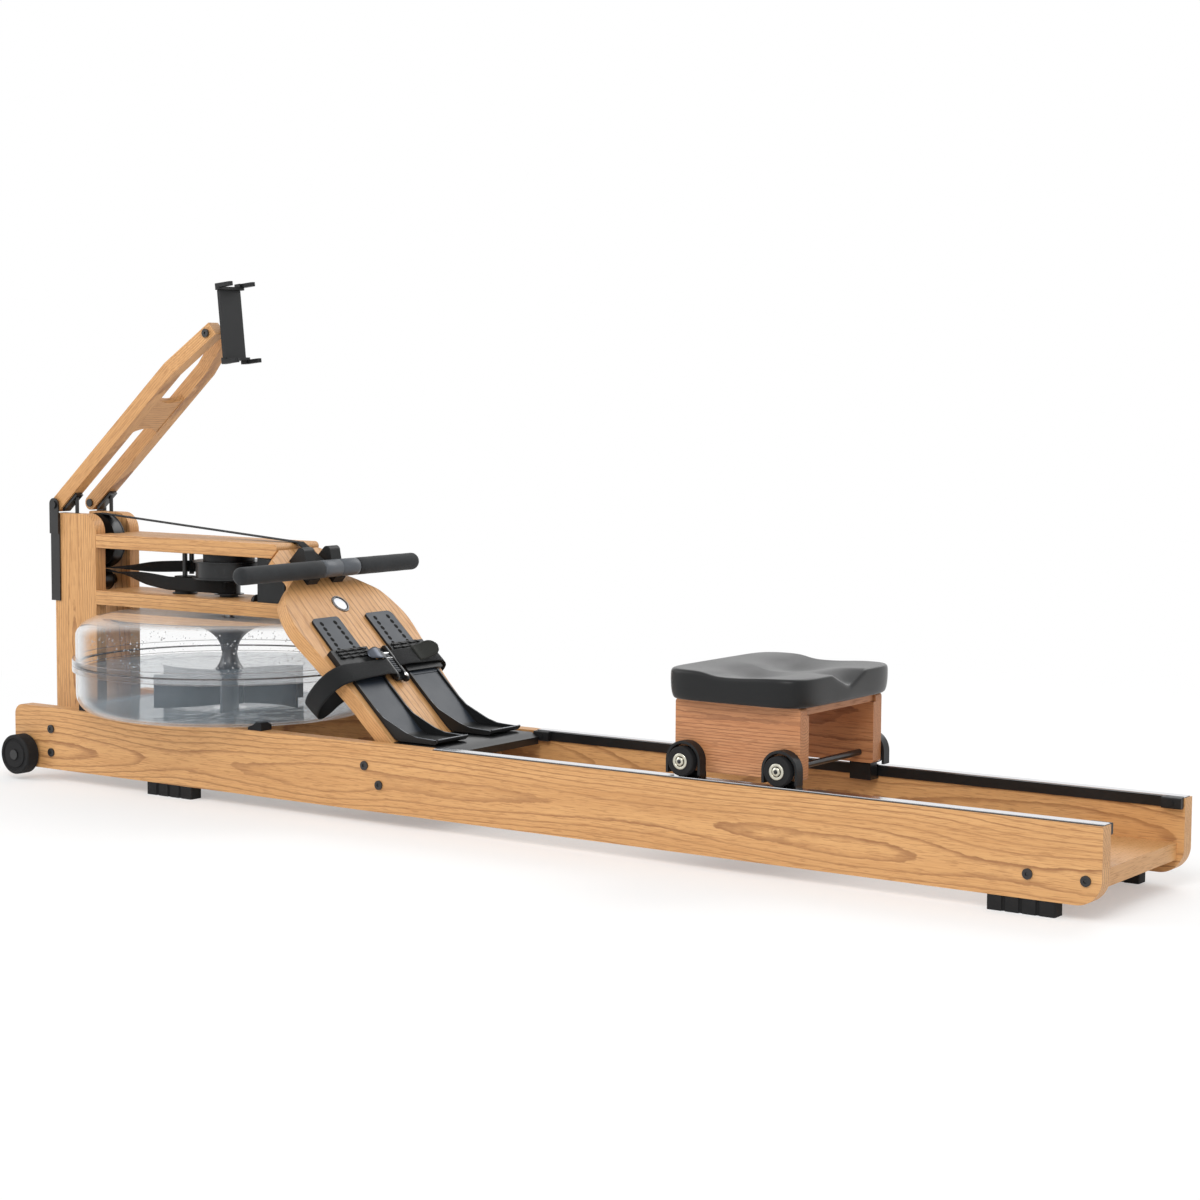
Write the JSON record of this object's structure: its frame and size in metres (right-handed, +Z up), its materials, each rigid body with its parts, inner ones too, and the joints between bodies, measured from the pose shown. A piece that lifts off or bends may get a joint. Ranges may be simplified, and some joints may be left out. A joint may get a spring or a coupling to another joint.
{
  "type": "water rowing machine",
  "caption": "Wooden rowing machine with a clear water tank and paddles, rolling seat on rails, pull handle, sloped foot rests and folding tablet arms.",
  "frame": {"origin": "on the floor, under the middle of the machine's length and width", "axes": "+X towards the seat end of the rails, +Y towards the right foot, +Z up"},
  "size_m": [2.103, 0.544, 0.8822],
  "materials": {
    "oak": "oiled oak, long straight grain, satin",
    "seat_oak": "redder oiled oak, satin",
    "black_plastic": "moulded black plastic, fine texture",
    "grey_plastic": "moulded dark grey plastic, satin",
    "black_rubber": "black rubber",
    "steel": "turned steel",
    "black_steel": "black painted steel",
    "silver": "bright anodised aluminium",
    "webbing": "black woven webbing",
    "foam": "soft dark foam",
    "cushion": "dark grey vinyl over foam",
    "clear_shell": "clear moulded plastic",
    "water": "clear water"
  },
  "bodies": {
    "frame": {"left_rail": "oak", "right_rail": "oak", "track_strips": "silver", "track_bases": "black_plastic", "track_stops": "black_plastic", "rail_feet": "black_rubber", "front_cross": "oak", "rear_deck": "oak", "frame_bolts": "black_plastic", "uprights": "oak", "upper_deck": "oak", "lower_deck": "oak", "footboard": "oak", "footboard_cleat": "oak", "badge_disc": "silver", "heel_wedge": "black_plastic", "strap_anchors": "black_plastic", "toe_straps": "webbing", "toe_buckles": "black_plastic", "tank_lower_shell": "clear_shell", "tank_upper_shell": "clear_shell", "tank_seal": "black_rubber", "tank_pads": "black_rubber", "water": "water", "shaft_bearings": "black_plastic", "guide_posts": "steel", "steel_axles": "steel", "pull_strap": "webbing", "recoil_strap": "webbing", "bungee_cord": "webbing", "sensor_box": "black_plastic", "handle_rests": "black_plastic", "arm_brackets": "black_steel", "arm_stays": "black_steel"},
    "rotor": {"impeller": "black_plastic", "drive_shaft": "steel"},
    "drum": {"strap_drum": "black_plastic", "recoil_spool": "black_plastic"},
    "roller": {"guide_roller": "black_plastic"},
    "upper_pulley": {"top_pulley": "black_plastic"},
    "lower_pulley": {"recoil_pulley": "black_plastic"},
    "handle": {"handle_bar": "steel", "handle_grips": "foam", "centre_sleeve": "grey_plastic"},
    "seat": {"seat_panels": "seat_oak", "seat_board": "seat_oak", "seat_cushion": "cushion", "seat_axles": "steel", "wheel_guards": "black_plastic", "seat_clips": "black_plastic"},
    "front_wheels": {"front_seat_wheels": "grey_plastic"},
    "rear_wheels": {"rear_seat_wheels": "grey_plastic"},
    "transport": {"transport_wheels": "grey_plastic"},
    "left_rest": {"left_heel_rest": "grey_plastic"},
    "right_rest": {"right_heel_rest": "grey_plastic"},
    "arms": {"tablet_arms": "oak", "arm_brace": "oak", "tilt_bolt": "black_plastic"},
    "holder": {"holder_plate": "black_plastic"},
    "clamp": {"top_clamp": "black_plastic"}
  },
  "joints": [
    {"name": "seat_slide", "type": "slide", "parent": "frame", "child": "seat", "axis": [1, 0, 0], "range_m": [-0.415, 0.459]},
    {"name": "front_wheel_spin", "type": "hinge", "parent": "seat", "child": "front_wheels", "pos_m": [0.3755, 0, 0.156], "axis": [0, 1, 0], "continuous": true},
    {"name": "rear_wheel_spin", "type": "hinge", "parent": "seat", "child": "rear_wheels", "pos_m": [0.5415, 0, 0.156], "axis": [0, 1, 0], "continuous": true},
    {"name": "handle_slide", "type": "slide", "parent": "frame", "child": "handle", "axis": [0.9848, 0, 0.1736], "range_m": [0, 0.9], "stiffness_N_per_m": 20, "springref_m": -0.6, "deforming": ["pull_strap"]},
    {"name": "drum_spin", "type": "hinge", "parent": "frame", "child": "drum", "pos_m": [-0.6645, 0, 0.38], "axis": [0, 0, 1], "range_deg": [0, 880]},
    {"name": "top_pulley_spin", "type": "hinge", "parent": "frame", "child": "upper_pulley", "pos_m": [-0.9801, 0, 0.4197], "axis": [0, 1, 0], "range_deg": [0, 1050]},
    {"name": "recoil_pulley_spin", "type": "hinge", "parent": "frame", "child": "lower_pulley", "pos_m": [-0.9801, 0, 0.3478], "axis": [0, 1, 0], "range_deg": [0, 970]},
    {"name": "guide_roller_spin", "type": "hinge", "parent": "frame", "child": "roller", "pos_m": [-0.7705, 0, 0.349], "axis": [0, 0, 1], "range_deg": [0, 970]},
    {"name": "rotor_spin", "type": "hinge", "parent": "frame", "child": "rotor", "pos_m": [-0.6645, 0, 0.2], "axis": [0, 0, 1], "continuous": true},
    {"name": "transport_wheel_spin", "type": "hinge", "parent": "frame", "child": "transport", "pos_m": [-1.0133, 0, 0.045], "axis": [0, 1, 0], "continuous": true},
    {"name": "left_rest_slide", "type": "slide", "parent": "frame", "child": "left_rest", "axis": [-0.7181, 0, 0.6959], "range_m": [0, 0.058]},
    {"name": "right_rest_slide", "type": "slide", "parent": "frame", "child": "right_rest", "axis": [-0.7181, 0, 0.6959], "range_m": [0, 0.058]},
    {"name": "arm_hinge", "type": "hinge", "parent": "frame", "child": "arms", "pos_m": [-1.0385, 0, 0.485], "axis": [0, -1, 0], "range_deg": [0, 60]},
    {"name": "holder_tilt", "type": "hinge", "parent": "arms", "child": "holder", "pos_m": [-0.68379, 0, 0.79335], "axis": [0, 1, 0], "range_deg": [-30, 35]},
    {"name": "clamp_slide", "type": "slide", "parent": "holder", "child": "clamp", "axis": [-0.1063, 0, 0.9943], "range_m": [0, 0.06]}
  ],
  "couplings": [
    {"joint": "front_wheel_spin", "follows": "seat_slide", "rad_per_m": 44.843},
    {"joint": "rear_wheel_spin", "follows": "seat_slide", "rad_per_m": 44.843},
    {"joint": "drum_spin", "follows": "handle_slide", "rad_per_m": 16.935},
    {"joint": "top_pulley_spin", "follows": "handle_slide", "rad_per_m": 20.182},
    {"joint": "recoil_pulley_spin", "follows": "handle_slide", "rad_per_m": 18.713},
    {"joint": "guide_roller_spin", "follows": "handle_slide", "rad_per_m": 18.713}
  ]
}
